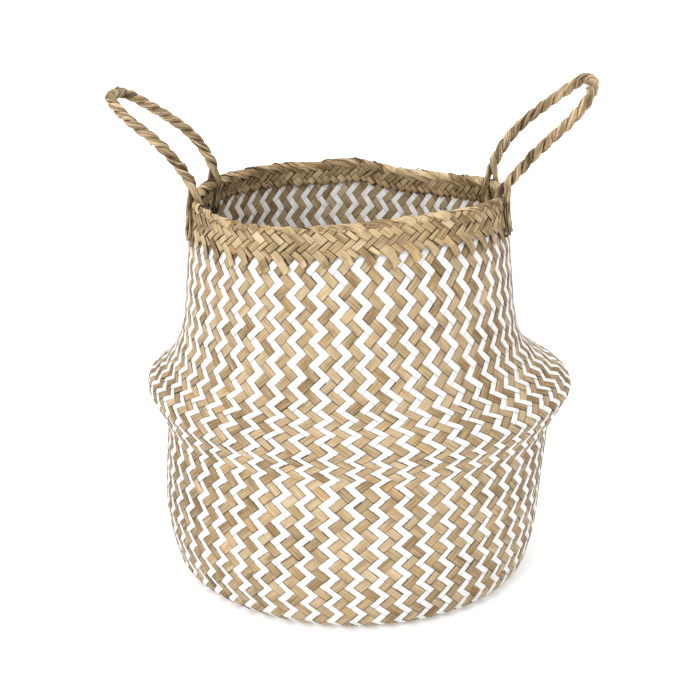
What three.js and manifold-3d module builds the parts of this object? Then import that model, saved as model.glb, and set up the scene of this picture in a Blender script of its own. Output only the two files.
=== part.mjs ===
// Woven seagrass belly basket with two twisted rope handles.
// Millimetres, +Z up. The origin is the middle of the flat base, on the floor.
// The handles stand at +X and -X, and the front is -Y.
import * as THREE from 'three';
import { mergeVertices } from 'three/addons/utils/BufferGeometryUtils.js';
import Module from 'manifold-3d';

const wasm = await Module();
wasm.setup();

// ---- driving dimensions ----

// body, measured on the outside of the weave
const baseRadius = 117;
const cornerReach = 17.8;
const cornerHeight = 14;
const creaseRadius = 142;
const creaseHeight = 112;
const ridgeRadius = 160;
const ridgeHeight = 138;
const neckFootRadius = 122.5;
const neckFootHeight = 184;
const neckTopRadius = 111.6;
const rimHeight = 280;
const wallThickness = 2.6;

// folded border over the top edge
const rimDepth = 24;
const rimLeaf = 2.0;
const rimCrown = 3.2;

// handles
const handleHalfSpan = 37;
const handleReach = 96;
const handleLeanLow = 17;
const handleLeanHigh = 50;
const leftHandleTurn = 5;
const plyRadius = 1.75;
const ropePitch = 20;
const footGap = 1.45;

// strands that tie each rope end to the wall
const strandRadius = 1.8;
const strandHoleBelowBorder = 12;

// hand-made unevenness
const bellyDrift = 6.5;
const rimTilt = 1.7;
const rimTwist = 4.7;

// clearances and mesh fineness
const seamGap = 0.3;
const seatGap = 0.6;
const plyGap = 0.5;
const aroundSegments = 48;
const roundSides = 6;
const cornerSteps = 4;
const rimSteps = 6;

// ---- colours ----

const natural = { color: 0xb8935c, roughness: 0.75, metalness: 0 };
const woven = { color: 0xd9c8a6, roughness: 0.75, metalness: 0 };
const rope = { color: 0xa98250, roughness: 0.8, metalness: 0 };

const group = new THREE.Group();

function addPiece(name, geometry, finish) {
  const mesh = new THREE.Mesh(geometry, new THREE.MeshStandardMaterial(finish));
  mesh.name = name;
  group.add(mesh);
}

// ---- unevenness shared by everything on the body ----

function drift(z) {
  const spread = z > ridgeHeight ? 22 : 60;
  return bellyDrift * Math.exp(-(((z - ridgeHeight) / spread) ** 2));
}

function rimWave(angle) {
  const s = Math.sin(angle);
  return rimTilt * Math.cos(angle) - rimTwist * Math.sin(2 * angle) * Math.abs(s);
}

function makeUneven(geometry) {
  const points = geometry.attributes.position;
  for (let i = 0; i < points.count; i += 1) {
    const x = points.getX(i);
    const y = points.getY(i);
    const z = points.getZ(i);
    const up = THREE.MathUtils.smoothstep(z, neckFootHeight, rimHeight - rimDepth);
    points.setX(i, x + drift(z));
    points.setZ(i, z + up * rimWave(Math.atan2(y, x)));
  }
  geometry.computeVertexNormals();
  return geometry;
}

// ---- helpers ----

// A piece cut or turned inside out is put right by its signed volume.
function faceOutward(geometry) {
  const clean = geometry.clone();
  clean.deleteAttribute('normal');
  clean.deleteAttribute('uv');
  const merged = mergeVertices(clean, 1e-4);
  const p = merged.attributes.position;
  const index = merged.index.array;
  const a = new THREE.Vector3();
  const b = new THREE.Vector3();
  const c = new THREE.Vector3();
  let volume = 0;
  for (let i = 0; i < index.length; i += 3) {
    a.fromBufferAttribute(p, index[i]);
    b.fromBufferAttribute(p, index[i + 1]);
    c.fromBufferAttribute(p, index[i + 2]);
    volume += a.dot(b.cross(c));
  }
  if (volume < 0) {
    for (let i = 0; i < index.length; i += 3) {
      const first = index[i];
      index[i] = index[i + 1];
      index[i + 1] = first;
    }
  }
  return merged;
}

// Turns a closed outline of [radius, height] points about the Z axis.
function turned(outline) {
  const points = outline.map(([r, z]) => new THREE.Vector2(r, z));
  const geometry = new THREE.LatheGeometry(points, aroundSegments);
  geometry.rotateX(Math.PI / 2);
  return faceOutward(geometry);
}

// Sweeps a round section of the given radius along a curve.
function swept(curve, radius, steps) {
  const corners = [];
  for (let i = 0; i < roundSides; i += 1) {
    const angle = (2 * Math.PI * i) / roundSides;
    corners.push(new THREE.Vector2(radius * Math.cos(angle), radius * Math.sin(angle)));
  }
  const section = new THREE.Shape(corners);
  const options = { steps, extrudePath: curve, bevelEnabled: false };
  return faceOutward(new THREE.ExtrudeGeometry(section, options));
}

function solidOf(geometry) {
  const vertProperties = new Float32Array(geometry.attributes.position.array);
  const triVerts = new Uint32Array(geometry.index.array);
  return new wasm.Manifold(new wasm.Mesh({ numProp: 3, vertProperties, triVerts }));
}

function geometryOf(solid) {
  const cut = solid.getMesh();
  const geometry = new THREE.BufferGeometry();
  geometry.setAttribute('position', new THREE.BufferAttribute(cut.vertProperties.slice(), 3));
  geometry.setIndex(new THREE.BufferAttribute(cut.triVerts.slice(), 1));
  return geometry;
}

// ---- wall outline, from the flat base up to the top edge ----

function smoothThrough(points, steps) {
  const curve = new THREE.SplineCurve(points.map(([r, z]) => new THREE.Vector2(r, z)));
  return curve.getPoints(steps).map((p) => [p.x, p.y]);
}

const wallTop = rimHeight - rimCrown - seamGap;
const cornerRadius = baseRadius + cornerReach;

const corner = [];
for (let i = 0; i <= cornerSteps; i += 1) {
  const angle = (Math.PI / 2) * (i / cornerSteps);
  const r = baseRadius + cornerReach * Math.sin(angle);
  corner.push([r, cornerHeight * (1 - Math.cos(angle))]);
}

function between(low, high, share) {
  return low + (high - low) * share;
}

const side = smoothThrough([
  [cornerRadius, cornerHeight],
  [between(cornerRadius, creaseRadius, 0.55), between(cornerHeight, creaseHeight, 0.15)],
  [between(cornerRadius, creaseRadius, 0.92), between(cornerHeight, creaseHeight, 0.42)],
  [creaseRadius, creaseHeight],
], 6);

const underBelly = smoothThrough([
  [creaseRadius, creaseHeight],
  [between(creaseRadius, ridgeRadius, 0.5), between(creaseHeight, ridgeHeight, 0.38)],
  [between(creaseRadius, ridgeRadius, 0.88), between(creaseHeight, ridgeHeight, 0.72)],
  [ridgeRadius, ridgeHeight],
], 5);

const shoulder = smoothThrough([
  [ridgeRadius, ridgeHeight],
  [between(neckFootRadius, ridgeRadius, 0.9), between(ridgeHeight, neckFootHeight, 0.18)],
  [between(neckFootRadius, ridgeRadius, 0.42), between(ridgeHeight, neckFootHeight, 0.45)],
  [between(neckFootRadius, ridgeRadius, 0.13), between(ridgeHeight, neckFootHeight, 0.73)],
  [neckFootRadius, neckFootHeight],
], 8);

const neck = smoothThrough([
  [neckFootRadius, neckFootHeight],
  [between(neckTopRadius, neckFootRadius, 0.7), between(neckFootHeight, wallTop, 0.24)],
  [between(neckTopRadius, neckFootRadius, 0.4), between(neckFootHeight, wallTop, 0.62)],
  [neckTopRadius, wallTop],
], 7);

const wall = [...corner, ...side.slice(1), ...underBelly.slice(1), ...shoulder.slice(1),
  ...neck.slice(1)];
const sideAt = corner.length - 1;
const creaseAt = sideAt + side.length - 1;
const ridgeAt = creaseAt + underBelly.length - 1;
const neckFootAt = ridgeAt + shoulder.length - 1;

function wallDirection(i) {
  const before = wall[Math.max(i - 1, 0)];
  const after = wall[Math.min(i + 1, wall.length - 1)];
  const dr = after[0] - before[0];
  const dz = after[1] - before[1];
  const length = Math.hypot(dr, dz);
  return [dr / length, dz / length];
}

// The direction at the very start is flat, along the floor.
function directionAt(i) {
  return i === 0 ? [1, 0] : wallDirection(i);
}

function wallPoint(i, along, inward) {
  const [dr, dz] = directionAt(i);
  return [wall[i][0] + dr * along - dz * inward, wall[i][1] + dz * along + dr * inward];
}

// A panel is the wall between two points of its outline, short of each seam.
function panel(from, to) {
  const outside = [];
  const inside = [];
  for (let i = from; i <= to; i += 1) {
    let along = 0;
    if (i === from) along = seamGap / 2;
    if (i === to && to < wall.length - 1) along = -seamGap / 2;
    outside.push(wallPoint(i, along, 0));
    inside.push(wallPoint(i, along, wallThickness));
  }
  return turned([...outside, ...inside.reverse(), outside[0]]);
}

// Middle of the wall's thickness at a height on the neck.
function neckMiddle(z) {
  let i = neckFootAt;
  while (i < wall.length - 2 && wall[i + 1][1] < z) i += 1;
  const share = (z - wall[i][1]) / (wall[i + 1][1] - wall[i][1]);
  return between(wall[i][0], wall[i + 1][0], share) - wallThickness / 2;
}

// ---- woven body ----

function baseDisc() {
  const edge = baseRadius - seamGap / 2;
  return turned([[0, 0], [edge, 0], [edge, wallThickness], [0, wallThickness]]);
}

addPiece('base_weave', makeUneven(baseDisc()), woven);
addPiece('base_corner', makeUneven(panel(0, sideAt)), woven);
addPiece('side_wall', makeUneven(panel(sideAt, creaseAt)), woven);
addPiece('belly_underside', makeUneven(panel(creaseAt, ridgeAt)), woven);
addPiece('belly_shoulder', makeUneven(panel(ridgeAt, neckFootAt)), woven);

// ---- handle places ----

const footRadius = neckMiddle(wallTop);
const footAngle = Math.asin(handleHalfSpan / footRadius);
const footDistance = footRadius * Math.cos(footAngle);
const handles = [
  { name: 'right', turn: 0 },
  { name: 'left', turn: Math.PI - THREE.MathUtils.degToRad(leftHandleTurn) },
];

// ---- neck wall, with a hole for each strand ----

const holeHeight = rimHeight - rimDepth - strandHoleBelowBorder;
const strandOffset = wallThickness / 2 + seamGap + rimLeaf + seatGap + strandRadius;
const holeRadius = strandRadius + seatGap;

let neckWall = solidOf(panel(neckFootAt, wall.length - 1));
for (const handle of handles) {
  for (const footSide of [-1, 1]) {
    const drill = new THREE.CylinderGeometry(holeRadius, holeRadius, 4 * wallThickness, 12);
    drill.rotateZ(Math.PI / 2);
    drill.translate(neckMiddle(holeHeight), 0, holeHeight);
    drill.rotateZ(handle.turn + footSide * footAngle);
    neckWall = neckWall.subtract(solidOf(faceOutward(drill)));
  }
}
addPiece('neck_wall', makeUneven(geometryOf(neckWall)), woven);

// ---- border folded over the top edge ----

function rimBorder() {
  const shoulderHeight = rimHeight - rimCrown;
  const low = rimHeight - rimDepth;
  const rise = neckMiddle(low) - neckMiddle(wallTop);
  const slope = Math.hypot(rise, wallTop - low) / (wallTop - low);
  const slot = (wallThickness / 2 + seamGap) * slope;
  const outer = slot + rimLeaf;

  // The border bends at the same heights as the wall that it covers.
  const bends = wall.map(([, z]) => z).filter((z) => z > low + 1 && z < wallTop - 1);
  const levels = [low, ...bends];
  const offset = (distance) => levels.map((z) => [neckMiddle(z) + distance, z]);
  const crown = [];
  for (let i = 0; i <= rimSteps; i += 1) {
    const angle = (Math.PI * i) / rimSteps;
    const r = neckMiddle(wallTop) + outer * Math.cos(angle);
    crown.push([r, shoulderHeight + rimCrown * Math.sin(angle)]);
  }
  const outline = [...offset(outer), ...crown, ...offset(-outer).reverse(), ...offset(-slot)];
  outline.push([neckMiddle(wallTop) - slot, shoulderHeight]);
  outline.push([neckMiddle(wallTop) + slot, shoulderHeight]);
  outline.push(...offset(slot).reverse());
  outline.push(outline[0]);
  return turned(outline);
}

addPiece('rim_border', makeUneven(rimBorder()), natural);

// ---- strands: down outside the border, through the wall and up inside ----

function tieStrand(turn) {
  const top = rimHeight - 1.5;
  const path = [];
  const bend = holeHeight + strandOffset;
  const levels = [top, between(top, bend, 0.33), between(top, bend, 0.66)];
  for (const z of levels) path.push([neckMiddle(z) + strandOffset, z]);
  for (let i = 0; i <= 6; i += 1) {
    const angle = (Math.PI * i) / 6;
    const middle = between(neckMiddle(bend), neckMiddle(holeHeight), Math.sin(angle));
    const r = middle + strandOffset * Math.cos(angle);
    path.push([r, bend - strandOffset * Math.sin(angle)]);
  }
  for (const z of levels.reverse()) path.push([neckMiddle(z) - strandOffset, z]);
  const curve = new THREE.CatmullRomCurve3(path.map(([r, z]) => (
    new THREE.Vector3(r * Math.cos(turn), r * Math.sin(turn), z))));
  return swept(curve, strandRadius, 26);
}

for (const handle of handles) {
  for (const [end, footSide] of [['front', -1], ['rear', 1]]) {
    const mirrored = handle.name === 'left' ? -footSide : footSide;
    const strand = tieStrand(handle.turn + mirrored * footAngle);
    addPiece(`${handle.name}_${end}_tie_strand`, makeUneven(strand), rope);
  }
}

// ---- rope handles: two plies twisted about a leaning loop ----

const spanSquareness = 3.8;
const reachSquareness = 2.1;
const loopPoints = 40;
const plyOffset = plyRadius + plyGap / 2;
const ropeRadius = plyOffset + plyRadius;

function handleHeight(turn) {
  const front = rimWave(turn - footAngle);
  const rear = rimWave(turn + footAngle);
  return rimHeight + (front + rear) / 2 + ropeRadius + footGap;
}

// Place on the leaning sheet in which the loop lies, a distance up from the feet.
function leaningPlace(reach) {
  const steps = 24;
  const at = [footDistance, 0];
  for (let i = 0; i < steps; i += 1) {
    const share = (reach * (i + 0.5)) / steps / (handleReach / 2);
    const degrees = between(handleLeanLow, handleLeanHigh, Math.min(share, 1));
    const lean = THREE.MathUtils.degToRad(degrees);
    at[0] += (Math.sin(lean) * reach) / steps;
    at[1] += (Math.cos(lean) * reach) / steps;
  }
  return at;
}

function handleLoop() {
  const points = [];
  for (let i = 0; i <= loopPoints; i += 1) {
    const angle = (Math.PI * i) / loopPoints;
    const across = Math.cos(angle);
    const y = -handleHalfSpan * Math.sign(across) * Math.abs(across) ** (2 / spanSquareness);
    const reach = handleReach * Math.max(Math.sin(angle), 0) ** (2 / reachSquareness);
    const [x, z] = leaningPlace(reach);
    points.push(new THREE.Vector3(x, y, z));
  }
  return new THREE.CatmullRomCurve3(points, false, 'centripetal');
}

function twistedPly(start) {
  const loop = handleLoop();
  const turns = loop.getLength() / ropePitch;
  const steps = Math.round(turns * 8);
  const frames = loop.computeFrenetFrames(steps);
  const points = [];
  for (let i = 0; i <= steps; i += 1) {
    const angle = start - (2 * Math.PI * turns * i) / steps;
    const point = loop.getPointAt(i / steps);
    point.addScaledVector(frames.normals[i], plyOffset * Math.cos(angle));
    point.addScaledVector(frames.binormals[i], plyOffset * Math.sin(angle));
    points.push(point);
  }
  return swept(new THREE.CatmullRomCurve3(points), plyRadius, steps);
}

for (const handle of handles) {
  for (const [ply, start] of [['a', 0], ['b', Math.PI]]) {
    const geometry = twistedPly(start);
    geometry.rotateZ(handle.turn);
    geometry.translate(0, 0, handleHeight(handle.turn));
    geometry.computeVertexNormals();
    addPiece(`${handle.name}_handle_ply_${ply}`, geometry, rope);
  }
}

export default group;
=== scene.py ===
import math

import bpy
import numpy as np
from mathutils import Euler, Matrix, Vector


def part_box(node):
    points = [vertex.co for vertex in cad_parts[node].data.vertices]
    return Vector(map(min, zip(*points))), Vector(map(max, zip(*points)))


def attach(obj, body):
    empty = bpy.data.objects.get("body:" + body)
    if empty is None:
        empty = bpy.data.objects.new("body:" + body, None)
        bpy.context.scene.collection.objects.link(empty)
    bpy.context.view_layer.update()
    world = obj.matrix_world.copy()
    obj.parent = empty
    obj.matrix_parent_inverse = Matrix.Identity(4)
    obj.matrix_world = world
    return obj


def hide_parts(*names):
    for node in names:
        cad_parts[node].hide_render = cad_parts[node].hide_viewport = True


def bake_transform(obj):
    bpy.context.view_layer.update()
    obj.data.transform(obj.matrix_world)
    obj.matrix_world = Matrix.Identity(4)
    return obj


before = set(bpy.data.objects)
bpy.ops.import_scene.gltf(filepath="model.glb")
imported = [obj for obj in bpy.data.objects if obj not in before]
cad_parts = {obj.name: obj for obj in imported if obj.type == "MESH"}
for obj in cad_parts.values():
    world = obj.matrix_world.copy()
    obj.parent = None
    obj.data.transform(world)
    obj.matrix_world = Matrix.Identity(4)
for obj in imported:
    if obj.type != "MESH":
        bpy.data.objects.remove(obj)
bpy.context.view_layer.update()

rng = np.random.default_rng(7)

# ---- sizes, in metres ----

MM = 0.001

# These come from the frame.
BASE_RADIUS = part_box("base_weave")[1].y
CORNER_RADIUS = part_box("base_corner")[1].y
CREASE_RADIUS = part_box("side_wall")[1].y
CREASE_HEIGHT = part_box("side_wall")[1].z
RIDGE_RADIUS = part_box("belly_underside")[1].y
RIDGE_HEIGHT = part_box("belly_underside")[1].z
NECK_FOOT_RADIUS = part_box("neck_wall")[1].y
NECK_FOOT_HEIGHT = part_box("belly_shoulder")[1].z
BELLY_DRIFT = (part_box("belly_underside")[0].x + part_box("belly_underside")[1].x) / 2

# These repeat the CAD model's own driving sizes.
CORNER_HEIGHT = 14.0 * MM
NECK_TOP_RADIUS = 111.6 * MM
RIM_HEIGHT = 280.0 * MM
RIM_DEPTH = 24.0 * MM
RIM_CROWN = 3.2 * MM
SEAM_GAP = 0.3 * MM
WALL_TOP = RIM_HEIGHT - RIM_CROWN - SEAM_GAP
WALL_THICKNESS = 2.6 * MM
RIM_TILT = 1.7 * MM
RIM_TWIST = 4.7 * MM

# These shape the looks alone.
WALL_MIDDLE = 0.8 * MM
BASE_SHIFT = 2.2 * MM
BELLY_SLACK = 2 * MM
FRONT_SLACK = 6 * MM
SLACK_SPREAD = 18 * MM
DRIFT_SPREAD_ABOVE = 22 * MM
DRIFT_SPREAD_BELOW = 60 * MM
REAR_BUMP = 4.0 * MM
REAR_BUMP_ANGLE = math.radians(88)
REAR_BUMP_WIDTH = 0.22
SWELL_THREEFOLD = 0.7 * MM
SWELL_FIVEFOLD = 0.5 * MM
OUTLINE_STEP = 0.25 * MM
WALL_ROUNDING = 1.6 * MM

# ---- the weave ----

COLUMNS = 54
PAIR_WIDTH_LOW = 11.0 * MM
PAIR_WIDTH_HIGH = 10.4 * MM
WHITE_SHARE_LOW = 0.40
WHITE_SHARE_NECK = 0.44
COLUMN_LEAN = -0.39
NECK_SPREAD = 0.075
STRIP_EDGE = 0.22 * MM
STRIP_CROWN = 0.05 * MM
WEAVE_LIFT = 0.36 * MM
WEAVE_NEST = 0.05 * MM
LEVEL_SHARE = 0.72
# Painted shade that darkens the strips at the basket's two sides.
PAINTED_SIDE_SHADE = 0.36
FIBRE_HALF_WIDTH = 2.8 * MM
FOLD_LOOSENESS = 0.07
LOWEST_TONE = 0.12
TONE_OF_STRIP = 0.34
TONE_OF_FLOAT = 0.42
DIAGONAL_LENGTH = 1.25
TAB_LEAN = 0.4


# ---- camera, at the photograph's viewing angle ----

def add_camera():
    data = bpy.data.cameras.new("camera")
    data.sensor_width = 36
    data.lens = 65.71
    data.clip_end = 60
    camera = bpy.data.objects.new("camera", data)
    camera.location = (0.0, -0.9002, 0.4556)
    camera.rotation_euler = Euler((math.radians(90 - 18.18), 0, 0))
    bpy.context.scene.collection.objects.link(camera)
    bpy.context.scene.camera = camera


add_camera()


# ---- small numeric helpers ----

def between(low, high, share):
    return low + (high - low) * share


def smoothstep(x, low, high):
    t = np.clip((x - low) / (high - low), 0, 1)
    return t * t * (3 - 2 * t)


def through(points, steps):
    """A smooth curve through points, the way the CAD model draws its outline."""
    p = np.array(points, float)
    out = []
    for k in range(steps):
        t = k / (steps - 1) * (len(p) - 1)
        i = min(int(t), len(p) - 2)
        f = t - i
        p0, p1, p2, p3 = p[max(i - 1, 0)], p[i], p[i + 1], p[min(i + 2, len(p) - 1)]
        v0, v1 = (p2 - p0) / 2, (p3 - p1) / 2
        out.append((2 * p1 - 2 * p2 + v0 + v1) * f ** 3
                   + (-3 * p1 + 3 * p2 - 2 * v0 - v1) * f ** 2 + v0 * f + p1)
    return np.array(out)


def soft_noise(count, steps, knots, size):
    """Smooth random values: one row for each strip, one column for each step along it."""
    values = rng.normal(0, size, (count, knots))
    at = np.linspace(0, knots - 1, steps)
    i = np.minimum(at.astype(int), knots - 2)
    f = at - i
    f = f * f * (3 - 2 * f)
    return values[:, i] * (1 - f) + values[:, i + 1] * f


# ---- hand-made unevenness, the same for everything on the body ----

def drift(z):
    spread = np.where(z > RIDGE_HEIGHT, DRIFT_SPREAD_ABOVE, DRIFT_SPREAD_BELOW)
    return BELLY_DRIFT * np.exp(-(((z - RIDGE_HEIGHT) / spread) ** 2))


def rim_wave(angle):
    s = np.sin(angle)
    wave = RIM_TILT * np.cos(angle) - RIM_TWIST * np.sin(2 * angle) * np.abs(s)
    from_bump = np.abs(np.angle(np.exp(1j * (angle - REAR_BUMP_ANGLE))))
    return wave + REAR_BUMP * np.exp(-((from_bump / REAR_BUMP_WIDTH) ** 2))


def column_warp(angle, z):
    """How far the columns stray: they lean as they climb and spread at the neck's front."""
    spread = smoothstep(z, RIDGE_HEIGHT, NECK_FOOT_HEIGHT + 12 * MM)
    return COLUMN_LEAN * z + NECK_SPREAD * spread * np.cos(angle)


def uneven(angle, radius, z):
    """Turns angle, radius and height into a place on the slightly crooked basket."""
    up = smoothstep(z, NECK_FOOT_HEIGHT, RIM_HEIGHT - RIM_DEPTH)
    swell = (SWELL_THREEFOLD * np.sin(3 * angle + 0.9 + 14 * z)
             + SWELL_FIVEFOLD * np.sin(5 * angle + 2 - 9 * z))
    swell = swell * smoothstep(z, 4 * MM, 40 * MM)
    slack = BELLY_SLACK + FRONT_SLACK * smoothstep(-np.sin(angle), -0.1, 0.6)
    r = radius + swell - slack * np.exp(-(((z - RIDGE_HEIGHT) / SLACK_SPREAD) ** 2))
    x = r * np.cos(angle) + drift(z) + BASE_SHIFT * (1 - smoothstep(z, 2 * MM, 60 * MM))
    return np.stack([x, r * np.sin(angle), z + up * rim_wave(angle)], -1)


# ---- outlines: radius and height along the wall, with the way that faces out ----

class Outline:
    def __init__(self, points, inward=0.0, rounding=0.0):
        p = self.evenly(np.array(points, float))
        if rounding:
            half = int(3 * rounding / OUTLINE_STEP)
            kernel = np.exp(-0.5 * (np.arange(-half, half + 1) * OUTLINE_STEP / rounding) ** 2)
            kernel /= kernel.sum()
            p = np.stack([np.convolve(np.pad(p[:, k], half, "reflect", reflect_type="odd"),
                                      kernel, "valid") for k in (0, 1)], 1)
        out = self.facing_out(p)
        p = self.evenly(p - out * inward)
        self.out = self.facing_out(p)
        self.p = p
        self.s = np.concatenate([[0], np.cumsum(np.linalg.norm(np.diff(p, axis=0), axis=1))])

    @staticmethod
    def evenly(p):
        s = np.concatenate([[0], np.cumsum(np.linalg.norm(np.diff(p, axis=0), axis=1))])
        at = np.linspace(0, s[-1], int(s[-1] / OUTLINE_STEP) + 1)
        return np.stack([np.interp(at, s, p[:, 0]), np.interp(at, s, p[:, 1])], 1)

    @staticmethod
    def facing_out(p):
        t = np.gradient(p, axis=0)
        t /= np.linalg.norm(t, axis=1)[:, None]
        return np.stack([t[:, 1], -t[:, 0]], 1)

    def at(self, s, height):
        """Radius and height at arc length s, raised off the wall by height."""
        r = np.interp(s, self.s, self.p[:, 0]) + height * np.interp(s, self.s, self.out[:, 0])
        z = np.interp(s, self.s, self.p[:, 1]) + height * np.interp(s, self.s, self.out[:, 1])
        return r, z

    def rows(self, columns, pair_width):
        """The row of crossings at each arc length, such that strips keep their width."""
        around = 2 * math.pi * self.p[:, 0] / columns
        slope = np.sqrt(np.maximum(1 / pair_width ** 2 - 1 / around ** 2, 1.0))
        return 4 * np.concatenate([[0], np.cumsum((slope[1:] + slope[:-1]) / 2 * np.diff(self.s))])


def wall_points():
    angles = np.linspace(0, math.pi / 2, 12)
    corner = np.stack([BASE_RADIUS + (CORNER_RADIUS - BASE_RADIUS) * np.sin(angles),
                       CORNER_HEIGHT * (1 - np.cos(angles))], 1)
    side = through([
        (CORNER_RADIUS, CORNER_HEIGHT),
        (between(CORNER_RADIUS, CREASE_RADIUS, 0.55), between(CORNER_HEIGHT, CREASE_HEIGHT, 0.15)),
        (between(CORNER_RADIUS, CREASE_RADIUS, 0.92), between(CORNER_HEIGHT, CREASE_HEIGHT, 0.42)),
        (CREASE_RADIUS, CREASE_HEIGHT)], 60)
    under = through([
        (CREASE_RADIUS, CREASE_HEIGHT),
        (between(CREASE_RADIUS, RIDGE_RADIUS, 0.36), between(CREASE_HEIGHT, RIDGE_HEIGHT, 0.38)),
        (between(CREASE_RADIUS, RIDGE_RADIUS, 0.76), between(CREASE_HEIGHT, RIDGE_HEIGHT, 0.74)),
        (RIDGE_RADIUS, RIDGE_HEIGHT)], 40)
    span = (RIDGE_HEIGHT, NECK_FOOT_HEIGHT)
    shoulder = through([
        (RIDGE_RADIUS, RIDGE_HEIGHT),
        (between(NECK_FOOT_RADIUS, RIDGE_RADIUS, 0.9), between(*span, 0.18)),
        (between(NECK_FOOT_RADIUS, RIDGE_RADIUS, 0.42), between(*span, 0.45)),
        (between(NECK_FOOT_RADIUS, RIDGE_RADIUS, 0.13), between(*span, 0.73)),
        (NECK_FOOT_RADIUS, NECK_FOOT_HEIGHT)], 60)
    span = (NECK_FOOT_HEIGHT, WALL_TOP)
    neck = through([
        (NECK_FOOT_RADIUS, NECK_FOOT_HEIGHT),
        (between(NECK_TOP_RADIUS, NECK_FOOT_RADIUS, 0.7), between(*span, 0.24)),
        (between(NECK_TOP_RADIUS, NECK_FOOT_RADIUS, 0.4), between(*span, 0.62)),
        (NECK_TOP_RADIUS, WALL_TOP)], 60)
    floor = [(BASE_RADIUS - 8 * MM, 0.0)]
    return np.concatenate([floor, corner, side[1:], under[1:], shoulder[1:], neck[1:]])


wall = Outline(wall_points(), inward=WALL_MIDDLE, rounding=WALL_ROUNDING)


def neck_middle(z):
    """Radius of the surface in the neck wall that the strips are woven on."""
    high = wall.p[:, 1] > NECK_FOOT_HEIGHT
    return np.interp(z, wall.p[high, 1], wall.p[high, 0])


# ---- meshes made of ribbons ----

def add_mesh(name, verts, quads, attributes, material, ring=0, creases=()):
    """A mesh from arrays. Edges that run along a ring's creases are kept sharp."""
    mesh = bpy.data.meshes.new(name)
    mesh.vertices.add(len(verts))
    mesh.vertices.foreach_set("co", verts.astype(np.float32).ravel())
    mesh.loops.add(quads.size)
    mesh.loops.foreach_set("vertex_index", quads.astype(np.int32).ravel())
    mesh.polygons.add(len(quads))
    sides = quads.shape[1]
    mesh.polygons.foreach_set("loop_start", np.arange(0, quads.size, sides, dtype=np.int32))
    mesh.polygons.foreach_set("use_smooth", np.full(len(quads), True))
    mesh.update(calc_edges=True)
    if ring:
        ends = np.zeros(2 * len(mesh.edges), np.int32)
        mesh.edges.foreach_get("vertices", ends)
        ends = ends.reshape(-1, 2) % ring
        sharp = (ends[:, 0] == ends[:, 1]) & np.isin(ends[:, 0], creases)
        mesh.attributes.new("sharp_edge", "BOOLEAN", "EDGE").data.foreach_set("value", sharp)
    for key, values in attributes.items():
        kind = "FLOAT" if values.ndim == 1 else "FLOAT_VECTOR"
        attribute = mesh.attributes.new(key, kind, "POINT")
        attribute.data.foreach_set("value" if values.ndim == 1 else "vector",
                                   values.astype(np.float32).ravel())
    mesh.materials.append(material)
    piece = bpy.data.objects.new(name, mesh)
    bpy.context.scene.collection.objects.link(piece)
    return piece


def tube_faces(strips, steps, around):
    """Quads of closed tubes: strips x steps x around vertices, with both ends capped."""
    k = np.arange(strips * steps * around).reshape(strips, steps, around)
    nxt = np.roll(k, -1, axis=2)
    quads = np.stack([k[:, :-1], nxt[:, :-1], nxt[:, 1:], k[:, 1:]], -1).reshape(-1, 4)
    caps = []
    for end, turn in ((0, -1), (steps - 1, 1)):
        ring = k[:, end][:, ::turn]
        for c in range(1, around - 1, 2):
            caps.append(np.stack([ring[:, 0], ring[:, c], ring[:, c + 1],
                                  ring[:, min(c + 2, around - 1)]], -1))
    return np.concatenate([quads, *caps])


# A ribbon's section: left, middle and right on one face, then back on the other.
ACROSS = np.array([-1, 0, 1, 1, 0, -1], float)
FACES = np.array([STRIP_EDGE, STRIP_EDGE + STRIP_CROWN, STRIP_EDGE,
                  -STRIP_EDGE, -STRIP_EDGE - STRIP_CROWN, -STRIP_EDGE])
RIBBON_CREASES = (0, 2, 3, 5)


def ribbon_attributes(along, half_width, number, tone, shape, over=None):
    """Fibre position, tone, nearness to an edge, the inner face, and painted shade where the strip
    dives under a crossing strip.
    """
    fibre = [np.broadcast_to(v, shape) for v in (along, ACROSS * half_width, number)]
    # Painted shade: the faces that lie against a crossing strip are marked, so the looks darken a
    # strip where it tucks under.
    painted_shade = False if over is None else np.where(over, FACES < 0, FACES > 0)
    return {"fibre": np.stack(fibre, -1).reshape(-1, 3),
            "tone": np.broadcast_to(tone, shape).ravel(),
            "edge": np.broadcast_to(np.abs(ACROSS), shape).ravel(),
            "inside": np.broadcast_to(FACES < 0, shape).ravel(),
            "painted_shade": np.broadcast_to(painted_shade, shape).ravel()}


def unit(v):
    return v / np.linalg.norm(v, axis=-1, keepdims=True)


def leaf_blades(name, lines, normals, half_widths, material):
    """Loose flat leaves along given lines, tapering to their tips."""
    count, steps = lines.shape[:2]
    tangent = unit(np.gradient(lines, axis=1))
    cross = unit(np.cross(tangent, normals))
    normals = np.cross(cross, tangent)
    t = np.linspace(0, 1, steps)
    taper = np.minimum(1, 0.25 + 3 * np.minimum(t, 1 - t))
    half = half_widths[:, None] * taper
    verts = (lines[:, :, None] + (half[:, :, None] * ACROSS)[..., None] * cross[:, :, None]
             + (0.6 * FACES)[None, None, :, None] * normals[:, :, None]).reshape(-1, 3)
    number = np.arange(count)[:, None, None]
    attributes = ribbon_attributes((t * 15 * MM)[None, :, None] + number * 0.02,
                                   half_widths[:, None, None], number * 0.43,
                                   rng.random((count, 1, 1)), (count, steps, 6))
    return add_mesh(name, verts, tube_faces(count, steps, 6), attributes, material, 6,
                    RIBBON_CREASES)


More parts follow.
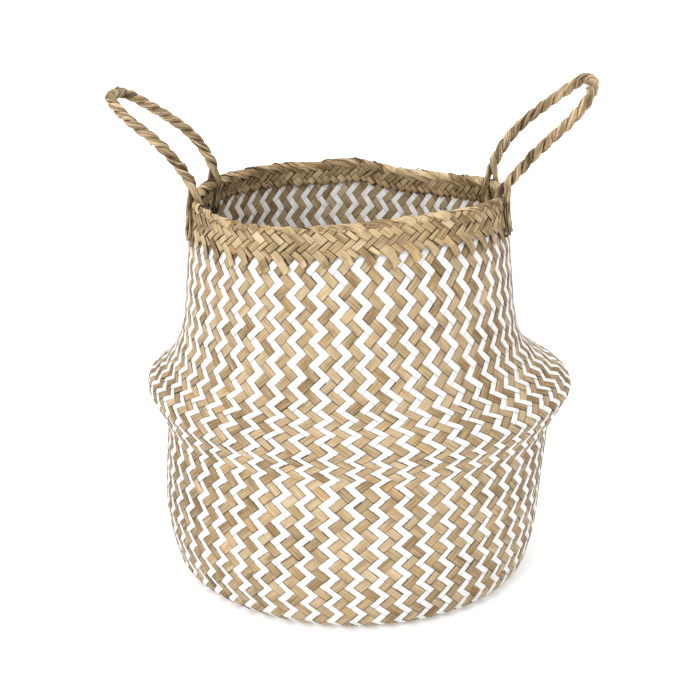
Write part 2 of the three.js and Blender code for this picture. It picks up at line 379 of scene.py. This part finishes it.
class Weave:
    """A two over, two under plait of diagonal strips on a surface of revolution."""

    def __init__(self, outline, columns, pair_width, share, loose=0.0, phase=0.0):
        self.outline, self.columns, self.phase = outline, columns, phase
        self.table = outline.rows(columns, pair_width)
        self.share = share * np.ones_like(outline.s)
        self.loose = loose * np.ones_like(outline.s)

    def strips(self, name, direction, parity, rows, material, ragged=(0.0, 0.0), tightness=0.97,
               wander=0.022, uneven_width=0.045, uneven_lift=0.06 * MM, uneven_tilt=0.08 * MM,
               hang=None):
        """One set of strips: direction 1 leans left as it rises, -1 leans right.

        parity is 0 for the even strips and 1 for the odd ones. rows is the first and last row
        of crossings that the strips reach, and ragged is how far their ends stray from it.
        Below the row called hang the strips lie on top and hang more steeply.
        """
        strips = np.arange(parity, 2 * self.columns, 2)
        row = np.arange(rows[0], rows[1] + 1)
        even_share = np.interp(row, self.table, self.share)
        crossing = np.where((row - parity) % 2 == 0, even_share, 1 - even_share)
        level = LEVEL_SHARE * crossing
        steps = np.stack([row - level, row + level], 1).ravel()
        own_share = np.interp(steps, self.table, self.share)
        own_share = own_share if parity == 0 else 1 - own_share
        over = (row % 4 < 2) if direction == 1 else (row % 4 >= 2)
        if hang is not None:
            over = over | (row < hang)
        first = row % 2 == 0
        inner = np.stack([~first, first], 1).ravel()
        rise = np.repeat(np.where(over, 1.0, -1.0), 2)
        rise = rise * (WEAVE_LIFT + np.where(inner, WEAVE_NEST, -WEAVE_NEST))

        count, length = len(strips), len(steps)
        number = np.repeat(row, 2) // 2
        number = number - number.min()

        def each_float(low, high):
            return rng.uniform(low, high, (count, number.max() + 1))[:, number]

        tone = LOWEST_TONE + TONE_OF_STRIP * rng.random((count, 1)) + TONE_OF_FLOAT * each_float(0, 1)
        rise = rise + uneven_lift * each_float(-1.7, 1.7)
        tilt = uneven_tilt * each_float(-1.7, 1.7)
        width = own_share * (tightness - np.interp(steps, self.table, self.loose))
        width = width * (1 + np.clip(rng.normal(0, uneven_width, (count, 1)),
                                     -2 * uneven_width, 1.5 * uneven_width))
        width = width * (1 + soft_noise(count, length, length // 3, 0.8 * uneven_width))
        sway = soft_noise(count, length, length // 5, wander)
        start = rows[0] - 0.5 + rng.uniform(0, ragged[0], count)
        stop = rows[1] + 0.5 - rng.uniform(0, ragged[1], count)
        along = np.clip(steps, start[:, None], stop[:, None])

        d = sway[:, :, None] + width[:, :, None] * ACROSS
        y = along[:, :, None] + d
        turn = along if hang is None else np.maximum(along, hang + TAB_LEAN * (along - hang))
        x = direction * (2 * strips[:, None, None] - turn[:, :, None] + d)
        angle = 2 * math.pi * x / (4 * self.columns) + self.phase
        s = np.interp(y, self.table, self.outline.s)
        height = rise[:, :, None] + FACES + tilt[:, :, None] * ACROSS
        r, z = self.outline.at(s, height)
        verts = uneven(angle + column_warp(angle, z), r, z).reshape(-1, 3)

        # Painted shade: strips at the basket's two sides are darker and browner than those in front
        # and at the back.
        tone = tone - PAINTED_SIDE_SHADE * np.cos(angle[:, :, 1]) ** 2
        distance = DIAGONAL_LENGTH * np.interp(along, self.table, self.outline.s)
        attributes = ribbon_attributes(
            distance[:, :, None], FIBRE_HALF_WIDTH, (strips * 0.37 + direction)[:, None, None],
            tone[:, :, None], (count, length, 6), np.repeat(over, 2)[None, :, None])
        faces = tube_faces(count, length, 6)
        if direction == 1:
            faces = faces[:, ::-1]
        return add_mesh(name, verts, faces, attributes, material, 6, RIBBON_CREASES)


# ---- materials ----

class Look:
    """A material's node tree, with short calls for the nodes that it needs."""

    def __init__(self, name):
        self.material = bpy.data.materials.new(name)
        self.material.use_nodes = True
        self.tree = self.material.node_tree
        self.shader = self.tree.nodes["Principled BSDF"]

    def node(self, kind, **settings):
        node = self.tree.nodes.new(kind)
        for key, value in settings.items():
            setattr(node, key, value)
        return node

    def link(self, a, b):
        self.tree.links.new(a, b)

    def attribute(self, name, output="Fac"):
        return self.node("ShaderNodeAttribute", attribute_name=name).outputs[output]

    def scaled(self, vector, scale):
        node = self.node("ShaderNodeVectorMath", operation="MULTIPLY")
        self.link(vector, node.inputs[0])
        node.inputs[1].default_value = scale
        return node.outputs[0]

    def noise(self, vector, detail, roughness):
        node = self.node("ShaderNodeTexNoise")
        self.link(vector, node.inputs["Vector"])
        node.inputs["Scale"].default_value = 1.0
        node.inputs["Detail"].default_value = detail
        node.inputs["Roughness"].default_value = roughness
        return node.outputs["Fac"]

    def math(self, operation, a, b):
        node = self.node("ShaderNodeMath", operation=operation)
        for socket, value in zip(node.inputs, (a, b)):
            if isinstance(value, (int, float)):
                socket.default_value = value
            else:
                self.link(value, socket)
        return node.outputs[0]

    def ramp(self, value, stops):
        node = self.node("ShaderNodeValToRGB")
        self.link(value, node.inputs[0])
        ramp = node.color_ramp
        while len(ramp.elements) < len(stops):
            ramp.elements.new(0.5)
        for element, (place, colour) in zip(ramp.elements, stops):
            element.position = place
            if isinstance(colour, (int, float)):
                colour = (colour, colour, colour)
            element.color = (*colour, 1)
        return node.outputs["Color"]

    def mix(self, factor, a, b, kind="MIX"):
        node = self.node("ShaderNodeMix", data_type="RGBA", blend_type=kind)
        for socket, value in ((node.inputs["Factor"], factor), (node.inputs["A"], a),
                              (node.inputs["B"], b)):
            if isinstance(value, (int, float)):
                socket.default_value = value
            elif isinstance(value, tuple):
                socket.default_value = (*value, 1)
            else:
                self.link(value, socket)
        return node.outputs["Result"]

    def bump(self, height, strength, distance):
        node = self.node("ShaderNodeBump")
        node.inputs["Strength"].default_value = strength
        node.inputs["Distance"].default_value = distance
        self.link(height, node.inputs["Height"])
        self.link(node.outputs["Normal"], self.shader.inputs["Normal"])


def grass_look(name, dark, middle, light, edge_shade, rough=1.0):
    """Dried seagrass: long fibres, a tone for each float, and odd warm or brown patches."""
    look = Look(name)
    fibre = look.attribute("fibre", "Vector")
    fine = look.noise(look.scaled(fibre, (110, 3000, 60)), 3, 0.6)
    coarse = look.noise(look.scaled(fibre, (45, 900, 60)), 4, 0.65)
    patch = look.noise(look.scaled(fibre, (60, 150, 60)), 2, 0.5)
    hue = look.noise(look.scaled(fibre, (28, 40, 90)), 1, 0.5)
    tone = look.attribute("tone")
    value = look.math("ADD", look.math("MULTIPLY", tone, 0.72),
                      look.math("MULTIPLY", look.math("SUBTRACT", coarse, 0.5), 1.1))
    value = look.math("ADD", value, look.math("MULTIPLY", look.math("SUBTRACT", patch, 0.5), 0.7))
    value = look.math("ADD", value, 0.14)
    colour = look.ramp(value, [(0.08, dark), (0.5, middle), (0.92, light)])
    warm = look.ramp(hue, [(0.3, (0.97, 1.0, 1.0)), (0.5, (1, 1, 1)), (0.72, (1.04, 0.98, 0.85))])
    colour = look.mix(1.0, colour, warm, "MULTIPLY")
    lines = look.ramp(fine, [(0.31, 1 - 0.47 * rough), (0.45, 0.97), (0.72, 1.09)])
    colour = look.mix(1.0, colour, lines, "MULTIPLY")
    stain = look.ramp(patch, [(0.25, 0.6), (0.36, 0.0)])
    colour = look.mix(stain, colour, dark)
    # Painted shade along the edges: strips darken along their sides, rope leaves along their laps, as
    # in the gaps between them.
    rim = look.ramp(look.attribute("edge"), [(0.84, 1.0), (1.0, edge_shade)])
    colour = look.mix(0.9, colour, rim, "MULTIPLY")
    # Painted shade where a strip tucks under a crossing strip, and on the side of a rope ply that
    # faces its partner.
    under = look.ramp(look.attribute("painted_shade"), [(0.1, 1.0), (0.45, 0.3)])
    colour = look.mix(1.0, colour, under, "MULTIPLY")
    look.link(colour, look.shader.inputs["Base Color"])
    look.link(look.ramp(coarse, [(0.2, 0.72), (0.8, 0.5)]), look.shader.inputs["Roughness"])
    look.shader.inputs["Specular IOR Level"].default_value = 0.2
    ridges = look.math("ADD", fine, look.math("MULTIPLY", coarse, 1.4))
    look.bump(ridges, 0.6, 0.14 * rough * MM)
    return look.material


def white_look(name):
    """Seagrass painted white: the fibres still show, and the paint is thin in places."""
    look = Look(name)
    fibre = look.attribute("fibre", "Vector")
    fine = look.noise(look.scaled(fibre, (70, 2400, 60)), 3, 0.55)
    coarse = look.noise(look.scaled(fibre, (40, 420, 60)), 4, 0.6)
    colour = look.ramp(look.attribute("tone"), [(0.0, (0.63, 0.624, 0.605)),
                                                (0.5, (0.685, 0.681, 0.669)),
                                                (0.9, (0.72, 0.718, 0.708))])
    # Painted light: inner faces get a whiter colour, which brightens the inside of the basket.
    colour = look.mix(look.attribute("inside"), colour, (0.87, 0.866, 0.858))
    lines = look.ramp(fine, [(0.3, (0.62, 0.60, 0.565)), (0.47, 0.94), (0.6, 1.0)])
    colour = look.mix(0.9, colour, lines, "MULTIPLY")
    worn = look.ramp(coarse, [(0.24, 0.75), (0.34, 0.0)])
    colour = look.mix(worn, colour, (0.62, 0.53, 0.40))
    # Painted shade along each strip's edges, as in the gaps between neighbouring strips.
    rim = look.ramp(look.attribute("edge"), [(0.8, 1.0), (1.0, 0.7)])
    colour = look.mix(0.7, colour, rim, "MULTIPLY")
    # Painted shade where a strip tucks under a crossing strip.
    under = look.ramp(look.attribute("painted_shade"), [(0.2, 1.0), (0.5, 0.7)])
    colour = look.mix(1.0, colour, under, "MULTIPLY")
    look.link(colour, look.shader.inputs["Base Color"])
    look.link(look.ramp(coarse, [(0.2, 0.62), (0.8, 0.5)]), look.shader.inputs["Roughness"])
    look.bump(look.math("ADD", fine, look.math("MULTIPLY", coarse, 1.2)), 0.4, 0.1 * MM)
    return look.material


natural_grass = grass_look("natural_grass", (0.175, 0.108, 0.046), (0.378, 0.274, 0.155),
                           (0.53, 0.417, 0.272), edge_shade=0.42)
border_grass = grass_look("border_grass", (0.15, 0.092, 0.038), (0.384, 0.276, 0.148),
                          (0.56, 0.44, 0.272), edge_shade=0.36, rough=1.3)
rope_grass = grass_look("rope_grass", (0.065, 0.038, 0.017), (0.275, 0.19, 0.103),
                        (0.54, 0.41, 0.25), edge_shade=0.1, rough=2.0)
white_paint = white_look("white_grass")


# ---- woven wall, from the base up to the top edge ----

climb = smoothstep(wall.p[:, 1], CREASE_HEIGHT - 60 * MM, NECK_FOOT_HEIGHT)
neck_part = smoothstep(wall.p[:, 1], RIDGE_HEIGHT, NECK_FOOT_HEIGHT + 10 * MM)
at_fold = np.exp(-(((wall.p[:, 1] - RIDGE_HEIGHT + 4 * MM) / (9 * MM)) ** 2))
wall_weave = Weave(wall, COLUMNS, between(PAIR_WIDTH_LOW, PAIR_WIDTH_HIGH, climb),
                   between(WHITE_SHARE_LOW, WHITE_SHARE_NECK, neck_part),
                   FOLD_LOOSENESS * at_fold)


def woven_wall():
    last_row = int(wall_weave.table[-1]) - 1
    for side, direction in (("left", 1), ("right", -1)):
        for colour, parity, material in (("white", 0, white_paint), ("natural", 1, natural_grass)):
            piece = wall_weave.strips(f"wall_{colour}_strips_leaning_{side}", direction, parity,
                                      (2, last_row), material,
                                      tightness=(0.975, 0.95)[parity])
            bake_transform(piece)
    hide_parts("base_corner", "side_wall", "belly_underside", "belly_shoulder",
                "neck_wall")


woven_wall()


# ---- flat base: straight strips, two over and two under ----

BASE_EDGE = BASE_RADIUS + 2 * MM
BASE_LEVEL = 1.1 * MM
BASE_EDGE_LIFT = 1.9 * MM
BASE_TIGHTNESS = 0.97


def base_height(r):
    rise = smoothstep(r, BASE_RADIUS - 14 * MM, BASE_RADIUS - 6 * MM)
    return BASE_LEVEL + BASE_EDGE_LIFT * rise


def base_strips(name, along_x, parity, material):
    pitch = PAIR_WIDTH_LOW / 2
    share = (WHITE_SHARE_LOW, 1 - WHITE_SHARE_LOW)
    most = int(BASE_EDGE / pitch) + 1
    rows = np.arange(-most, most + 1)
    strips = rows[(rows % 2) == parity]
    strips = strips[np.abs(strips) * pitch < BASE_EDGE - 3 * MM]
    level = LEVEL_SHARE * np.where((rows % 2) == 0, share[0], share[1])
    steps = np.stack([rows - level, rows + level], 1).ravel()
    count, length = len(strips), len(steps)
    total = strips[:, None] + rows[None, :]
    over = (total % 4 < 2) if along_x else (total % 4 >= 2)
    first = total % 2 == 0
    inner = np.stack([~first, first], -1).reshape(count, -1)
    rise = np.repeat(np.where(over, 1.0, -1.0), 2, axis=1)
    rise = rise * (WEAVE_LIFT + np.where(inner, WEAVE_NEST, -WEAVE_NEST))
    tone = 0.4 * rng.random((count, 1)) + 0.6 * np.repeat(rng.random((count, len(rows))), 2, 1)
    half_width = share[parity] * BASE_TIGHTNESS * pitch
    v = (strips * pitch)[:, None, None] + half_width * ACROSS
    v = np.broadcast_to(v, (count, length, 6))
    reach = np.sqrt(BASE_EDGE ** 2 - np.minimum(np.abs(v), BASE_EDGE - MM) ** 2)
    u = np.clip((steps * pitch)[None, :, None], -reach, reach)
    z = base_height(np.hypot(u, v)) + rise[:, :, None] + FACES
    x, y = (u, v) if along_x else (v, u)
    verts = np.stack([x + BASE_SHIFT, y, z], -1).reshape(-1, 3)
    attributes = ribbon_attributes(u, half_width, (strips * 0.37)[:, None, None],
                                   tone[:, :, None], (count, length, 6))
    faces = tube_faces(count, length, 6)
    if along_x:
        faces = faces[:, ::-1]
    return add_mesh(name, verts, faces, attributes, material, 6, RIBBON_CREASES)


def flat_base():
    for way, along_x in (("across", True), ("deep", False)):
        for colour, parity, material in (("white", 0, white_paint), ("natural", 1, natural_grass)):
            piece = base_strips(f"base_{colour}_strips_{way}", along_x, parity, material)
            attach(piece, "lower_body")
    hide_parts("base_weave")


flat_base()


# ---- border: natural strips, plaited and folded over the top edge ----

BORDER_PAIR_WIDTH = 8.7 * MM
BORDER_SHARE = 0.6
BORDER_OFFSET = 2.1 * MM
BORDER_TAB = 12.5 * MM
BORDER_DEPTH = 19 * MM
BORDER_DEPTH_INSIDE = 22.5 * MM
CREST_STRIPS = 64
CREST_HALF_WIDTH = 2.6 * MM
STRAY_ENDS = 60


def border_points():
    crown = RIM_HEIGHT - RIM_CROWN
    z = np.linspace(RIM_HEIGHT - BORDER_DEPTH - BORDER_TAB, crown, 24)
    outer = np.stack([neck_middle(z) + BORDER_OFFSET, z], 1)
    z = np.linspace(crown, RIM_HEIGHT - BORDER_DEPTH_INSIDE, 20)
    inner = np.stack([neck_middle(z) - BORDER_OFFSET, z], 1)
    angles = np.linspace(0, math.pi, 14)[1:-1]
    crest = np.stack([neck_middle(crown) + BORDER_OFFSET * np.cos(angles),
                      crown + (RIM_CROWN - 1.2 * MM) * np.sin(angles)], 1)
    return np.concatenate([outer, crest, inner])


border = Outline(border_points(), rounding=0.5 * MM)
# The phase hangs the tabs over the natural columns, between the tips of the white ones.
border_weave = Weave(border, COLUMNS, BORDER_PAIR_WIDTH, BORDER_SHARE,
                     phase=2 * math.pi * 0.4 / (4 * COLUMNS))


def plaited_border():
    last = int(border_weave.table[-1]) - 1
    for side, direction in (("left", 1), ("right", -1)):
        for parity in (0, 1):
            tabs = direction == 1 and parity == 0
            piece = border_weave.strips(
                f"border_strips_leaning_{side}_{('wide', 'narrow')[parity]}", direction, parity,
                (1 if tabs else 4, last), border_grass, hang=4 if tabs else None,
                ragged=(1.6 if tabs else 0.4, 0.8), tightness=1.0 if direction == 1 else 0.88,
                wander=0.06, uneven_width=0.1, uneven_lift=0.12 * MM, uneven_tilt=0.16 * MM)
            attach(piece, "neck")
    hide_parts("rim_border")


def crest_strips():
    """Strips that wrap slowly over the top edge, each lapping over the next."""
    top = border.s[np.argmax(border.p[:, 1])]
    steps = 22
    t = np.linspace(0, 1, steps)
    count = CREST_STRIPS
    begin = 2 * math.pi * (np.arange(count) + rng.uniform(-0.3, 0.3, count)) / count
    run = (32 + rng.uniform(-10, 10, count)) * MM / NECK_TOP_RADIUS
    inside = (6.5 + rng.uniform(-3, 2.5, count)) * MM
    outside = (4 + rng.uniform(-2.5, 2.5, count)) * MM
    ease = t + 0.08 * np.sin(2 * math.pi * t)
    s = top + inside[:, None] - (inside + outside)[:, None] * ease
    angle = begin[:, None] + run[:, None] * t
    slope_a = run[:, None] * NECK_TOP_RADIUS * np.ones_like(t)
    slope_s = -(inside + outside)[:, None] * np.gradient(ease, t)
    size = np.hypot(slope_a, slope_s)
    cross_a, cross_s = -slope_s / size, slope_a / size
    half = CREST_HALF_WIDTH * (1 + rng.uniform(-0.4, 0.2, (count, 1))) * np.ones_like(t)
    half = half * (1 + soft_noise(count, steps, 8, 0.09))
    tuck = smoothstep(t, 0, 0.16) * (1 - smoothstep(t, 0.84, 1))
    lift = between(-0.5 * MM, 1.05 * MM + rng.uniform(-0.2, 0.3, (count, 1)) * MM, tuck)
    lift = lift + soft_noise(count, steps, 8, 0.16 * MM)
    height = lift[:, :, None] + FACES + 0.5 * MM * ACROSS
    where = s[:, :, None] + (half * cross_s)[:, :, None] * ACROSS
    around = angle[:, :, None] + (half * cross_a)[:, :, None] * ACROSS / NECK_TOP_RADIUS
    r, z = border.at(where, height)
    verts = uneven(around, r, z).reshape(-1, 3)
    tone = 0.75 * rng.random((count, 1, 1))
    distance = (t * 42 * MM)[None, :, None] + np.arange(count)[:, None, None] * 0.05
    attributes = ribbon_attributes(distance, CREST_HALF_WIDTH,
                                   np.arange(count)[:, None, None] * 0.61, tone,
                                   (count, steps, 6))
    piece = add_mesh("border_crest_strips", verts, tube_faces(count, steps, 6), attributes,
                     border_grass, 6, RIBBON_CREASES)
    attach(piece, "neck")


def stray_ends():
    """Short leaf ends that stand up a little from the border's top edge."""
    lines, normals, widths = [], [], []
    t = np.linspace(0, 1, 8)
    for _ in range(STRAY_ENDS):
        run = rng.uniform(4, 11) * MM * rng.choice((-1, 1))
        angle = rng.uniform(0, 2 * math.pi) + run * t / NECK_TOP_RADIUS
        side = rng.uniform(-1, 1)
        r = NECK_TOP_RADIUS + 2.6 * MM * side + rng.uniform(-1, 1) * 2 * MM * t
        z = RIM_HEIGHT - (1.6 + 1.4 * abs(side)) * MM + rng.uniform(0.5, 3.4) * MM * t ** 1.5
        lines.append(uneven(angle, r, z))
        normals.append(np.stack([side * np.cos(angle), side * np.sin(angle),
                                 np.full_like(t, 0.8)], 1))
        widths.append(rng.uniform(0.4, 1.2) * MM)
    piece = leaf_blades("border_stray_ends", np.array(lines), np.array(normals),
                        np.array(widths), border_grass)
    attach(piece, "neck")


plaited_border()
crest_strips()
stray_ends()


# ---- rope handles ----

HANDLE_HALF_SPAN = 37 * MM
HANDLE_REACH = 96 * MM
HANDLE_SHORT = {"right": 0.0, "left": 5.5 * MM}
FRONT_LEG_BOW = {"right": 11 * MM, "left": 4 * MM}
LEAN_LOW, LEAN_HIGH = 17.0, {"right": 50.0, "left": 56.0}
SPAN_SQUARENESS, REACH_SQUARENESS = 3.8, 2.1
LEFT_HANDLE_TURN = 5.0
FOOT_ABOVE_RIM = 5.2 * MM
ROPE_TURNS = 11.5
PLY_OFFSET = 1.98 * MM
PLY_THICK, PLY_WIDE = 2.0 * MM, 2.55 * MM
PLY_LEAVES = 8
PLY_LAY = 36 * MM
PLY_SIDES = 48
FLAT_END = 0.62
FOOT_SPREAD = 1.6 * MM
TAIL_OFFSET = 4.2 * MM
HOLE_HEIGHT = 252 * MM
FOOT_LEAVES = 16
LOOSE_FIBRES = 9
HANDLES = (("right", 0.0), ("left", math.pi - math.radians(LEFT_HANDLE_TURN)))
foot_radius = NECK_TOP_RADIUS - WALL_THICKNESS / 2
foot_angle = math.asin(HANDLE_HALF_SPAN / foot_radius)
foot_distance = foot_radius * math.cos(foot_angle)


def lengths(line):
    return np.concatenate([[0], np.cumsum(np.linalg.norm(np.diff(line, axis=0), axis=1))])


def resampled(values, at, s):
    return np.stack([np.interp(at, s, values[:, k]) for k in range(values.shape[1])], 1)


def softened(values, sigma):
    half = int(3 * sigma)
    kernel = np.exp(-0.5 * (np.arange(-half, half + 1) / sigma) ** 2)
    kernel /= kernel.sum()
    return np.stack([np.convolve(np.pad(values[:, k], half, "edge"), kernel, "valid")
                     for k in range(values.shape[1])], 1)


def foot_height(turn):
    side = (rim_wave(turn - foot_angle) + rim_wave(turn + foot_angle)) / 2
    return RIM_HEIGHT + float(side) + FOOT_ABOVE_RIM


def turned(vectors, turn):
    c, s = math.cos(turn), math.sin(turn)
    x, y, z = vectors.T
    return np.stack([c * x - s * y, s * x + c * y, z], 1)


def loop_line(name, turn, steps):
    """The middle of a handle's loop, with the way that faces out from its sheet."""
    angle = np.linspace(0, math.pi, 1200)
    across = np.cos(angle)
    y = -HANDLE_HALF_SPAN * np.sign(across) * np.abs(across) ** (2 / SPAN_SQUARENESS)
    part = np.maximum(np.sin(angle), 0) ** (2 / REACH_SQUARENESS)
    rise = (HANDLE_REACH - HANDLE_SHORT[name]) * part
    front = across if name == "right" else -across
    bow = FRONT_LEG_BOW[name] * 4 * part * (1 - part) * smoothstep(front, -0.2, 0.5)
    reach = np.linspace(0, HANDLE_REACH, 200)
    lean = between(LEAN_LOW, LEAN_HIGH[name], np.minimum(reach / (HANDLE_REACH / 2), 1))
    lean = np.radians(lean)
    out = foot_distance + np.concatenate([[0], np.cumsum(np.sin(lean[:-1]) * reach[1])])
    up = np.concatenate([[0], np.cumsum(np.cos(lean[:-1]) * reach[1])])
    line = np.stack([np.interp(rise, reach, out) + bow, y, np.interp(rise, reach, up)], 1)
    tilt = np.interp(rise, reach, lean)
    facing = np.stack([np.cos(tilt), np.zeros_like(tilt), -np.sin(tilt)], 1)
    s = lengths(line)
    at = np.linspace(0, s[-1], steps)
    line = turned(resampled(line, at, s), turn) + (0, 0, foot_height(turn))
    return at, line, turned(unit(resampled(facing, at, s)), turn)


def tail(side, angle):
    """From the hole in the wall up to the rim, outside (side 1) or inside (side -1)."""
    bend = HOLE_HEIGHT + TAIL_OFFSET
    bow = np.linspace(math.pi / 2, 0, 7)
    r = np.append(neck_middle(bend) + side * TAIL_OFFSET * np.cos(bow),
                  neck_middle(np.linspace(bend + 4 * MM, RIM_HEIGHT - 3 * MM, 6))
                  + side * TAIL_OFFSET)
    z = np.append(bend - TAIL_OFFSET * np.sin(bow),
                  np.linspace(bend + 4 * MM, RIM_HEIGHT - 3 * MM, 6))
    line = uneven(np.full_like(r, angle), r, z)
    away = np.tile(side * np.array([math.cos(angle), math.sin(angle), 0]), (len(r), 1))
    away[:7, 2] = -np.sin(bow)
    away[:7, :2] *= np.cos(bow)[:, None] + 0.02
    return line, unit(away)


def strand(name, turn, outside):
    """Middle line of a ply, hole to hole, with the way that faces away from its partner."""
    s, line, facing = loop_line(name, turn, 460)
    side = np.cross(unit(np.gradient(line, axis=0)), facing)
    twist = (0 if outside > 0 else math.pi) - 2 * math.pi * ROPE_TURNS * s / s[-1]
    near = np.minimum(s, s[-1] - s)
    away = np.cos(twist)[:, None] * facing + np.sin(twist)[:, None] * side
    offset = PLY_OFFSET + FOOT_SPREAD * np.exp(-((near / (5 * MM)) ** 2))
    keep = near > 4 * MM
    front, front_away = tail(outside, turn - foot_angle)
    rear, rear_away = tail(-outside, turn + foot_angle)
    whole = np.concatenate([front, (line + offset[:, None] * away)[keep], rear[::-1]])
    away = np.concatenate([front_away, away[keep], rear_away[::-1]])
    s = lengths(whole)
    at = np.linspace(0, s[-1], int(s[-1] / (0.7 * MM)))
    whole = softened(resampled(whole, at, s), 2.2)
    away = softened(resampled(away, at, s), 2.2)
    tangent = unit(np.gradient(whole, axis=0))
    return whole, unit(away - tangent * np.sum(away * tangent, 1)[:, None]), tangent


def ply_mesh(name, line, away, tangent):
    """A ply made of flat grass leaves that lap round each other."""
    flat = np.cross(tangent, away)
    length = lengths(line)
    around = np.linspace(0, 2 * math.pi, PLY_SIDES, endpoint=False)
    place = (around[None, :] / (2 * math.pi) - length[:, None] / PLY_LAY
             + soft_noise(1, len(line), len(line) // 14, 0.06)[0][:, None]) * PLY_LEAVES
    leaf = np.floor(place)
    lap = place - leaf
    groove = np.exp(-((lap / 0.17) ** 2)) + 0.7 * np.exp(-(((1 - lap) / 0.12) ** 2))
    swell = soft_noise(1, len(line), len(line) // 12, 0.05)[0][:, None]
    crumple = soft_noise(PLY_SIDES, len(line), len(line) // 5, 0.04).T
    size = 0.95 + 0.15 * lap - 0.2 * groove + swell + crumple
    ends = np.minimum(length, length[-1] - length)
    size = size * between(0.8, 1.0, smoothstep(ends, 0, 6 * MM))[:, None]
    thick = PLY_THICK * between(FLAT_END, 1.0, smoothstep(ends, 6 * MM, 34 * MM))[:, None]
    verts = (line[:, None] + (thick * size * np.cos(around))[..., None] * away[:, None]
             + PLY_WIDE * (size * np.sin(around))[..., None] * flat[:, None]).reshape(-1, 3)
    number = leaf % PLY_LEAVES
    fibre = np.stack(np.broadcast_arrays(length[:, None], lap * 2.6 * MM, number * 0.7), -1)
    tones = rng.permutation(PLY_LEAVES) / (PLY_LEAVES - 1)
    tone = 0.18 + 0.75 * tones[number.astype(int)]
    tone = tone + soft_noise(1, len(line), len(line) // 10, 0.2)[0][:, None]
    # Nearness to a leaf's lapped edge, which the look darkens as painted shade in the groove.
    edge = np.maximum(np.exp(-((lap / 0.2) ** 2)), np.exp(-(((1 - lap) / 0.13) ** 2)))
    # Painted shade on the side of the ply that faces its partner ply.
    in_shade = 0.42 * smoothstep(-np.cos(around), -0.15, 0.55)
    attributes = {"fibre": fibre.reshape(-1, 3), "tone": tone.ravel(), "edge": edge.ravel(),
                  "painted_shade": np.broadcast_to(in_shade, tone.shape).ravel()}
    return add_mesh(name, verts, tube_faces(1, len(line), PLY_SIDES), attributes,
                    rope_grass)


def foot_leaves(name, turn):
    """Leaf ends that gather round a handle's feet, outside and inside the border."""
    lines, normals, widths = [], [], []
    t = np.linspace(0, 1, 12)
    for foot in (-1, 1):
        for side in (1, -1):
            for _ in range(FOOT_LEAVES):
                top = RIM_HEIGHT + rng.uniform(-5, 1) * MM
                low = RIM_HEIGHT - rng.uniform(12, 30) * MM
                middle = turn + foot * foot_angle
                angle = middle + rng.normal(0, 3.0) * MM / foot_radius
                angle = angle + rng.normal(0, 2.5) * MM / foot_radius * t
                z = between(top, low, t)
                stand = BORDER_OFFSET + rng.uniform(1.0, 2.6) * MM
                stand = stand + rng.uniform(0, 1.0) * MM * (2 * t - 1) ** 2
                lines.append(uneven(angle, neck_middle(np.minimum(z, WALL_TOP)) + side * stand, z))
                normals.append(np.stack([side * np.cos(angle), side * np.sin(angle),
                                         np.zeros_like(t)], 1))
                widths.append(rng.uniform(0.6, 1.5) * MM)
    piece = leaf_blades(f"{name}_handle_foot_leaves", np.array(lines), np.array(normals),
                        np.array(widths), rope_grass)
    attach(piece, "neck")


def loose_fibres(name, strands, body):
    """Short leaf ends that lift off the rope."""
    lines, normals, widths = [], [], []
    for line, away, tangent in strands:
        flat = np.cross(tangent, away)
        for _ in range(LOOSE_FIBRES):
            run = int(rng.integers(9, 18))
            i = int(rng.integers(60, len(line) - 60 - run))
            way = rng.uniform(-0.9, 0.9)
            section = slice(i, i + run)
            t = np.linspace(0, 1, run)[:, None]
            lift = PLY_THICK * 0.98 + rng.uniform(0.3, 1.5) * MM * t ** 2
            facing = math.cos(way) * away[section] + math.sin(way) * flat[section]
            path = line[section] + lift * facing
            lines.append(resampled(path, np.linspace(0, 1, 8), t[:, 0]))
            normals.append(resampled(facing, np.linspace(0, 1, 8), t[:, 0]))
            widths.append(rng.uniform(0.25, 0.7) * MM)
    piece = leaf_blades(f"{name}_rope_loose_fibres", np.array(lines), np.array(normals),
                        np.array(widths), rope_grass)
    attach(piece, body)


def rope_handles():
    for name, turn in HANDLES:
        strands = []
        for ply, outside, ties in (("a", 1, "front"), ("b", -1, "rear")):
            strands.append(strand(name, turn, outside))
            piece = ply_mesh(f"{name}_rope_strand_{ply}", *strands[-1])
            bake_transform(piece)
            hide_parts(f"{name}_handle_ply_{ply}", f"{name}_{ties}_tie_strand")
        loose_fibres(name, strands, f"{name}_handle")
        foot_leaves(name, turn)


rope_handles()


# ---- plain studio ----

def plain_floor():
    """A white table, lit a little from within so that it stays white under the basket."""
    size = 30
    verts = np.array([(-size, -size, 0), (size, -size, 0), (size, size, 0), (-size, size, 0)])
    look = Look("floor_white")
    look.shader.inputs["Base Color"].default_value = (0.9, 0.9, 0.9, 1)
    look.shader.inputs["Roughness"].default_value = 1.0
    look.shader.inputs["Specular IOR Level"].default_value = 0.0
    look.shader.inputs["Emission Color"].default_value = (1, 1, 1, 1)
    look.shader.inputs["Emission Strength"].default_value = 0.2
    floor = add_mesh("floor", verts, np.array([[0, 1, 2, 3]]), {}, look.material)
    floor.location.z = -0.2 * MM


def soft_light(name, place, target, size, power):
    data = bpy.data.lights.new(name, "AREA")
    data.shape = "DISK"
    data.size = size
    data.energy = power
    light = bpy.data.objects.new(name, data)
    light.location = place
    aim = Vector(target) - Vector(place)
    light.rotation_euler = aim.to_track_quat("-Z", "Y").to_euler()
    bpy.context.scene.collection.objects.link(light)


def studio():
    world = bpy.data.worlds.new("studio")
    world.use_nodes = True
    back = world.node_tree.nodes["Background"]
    back.inputs["Color"].default_value = (1, 1, 1, 1)
    back.inputs["Strength"].default_value = 1.27
    bpy.context.scene.world = world
    soft_light("key", (-1.2, -1.9, 1.4), (0, 0, 0.15), size=1.0, power=26)
    soft_light("top", (0.0, 0.4, 2.0), (0, 0, 0.2), size=1.0, power=20)
    bpy.context.scene.view_settings.view_transform = "Standard"


plain_floor()
studio()
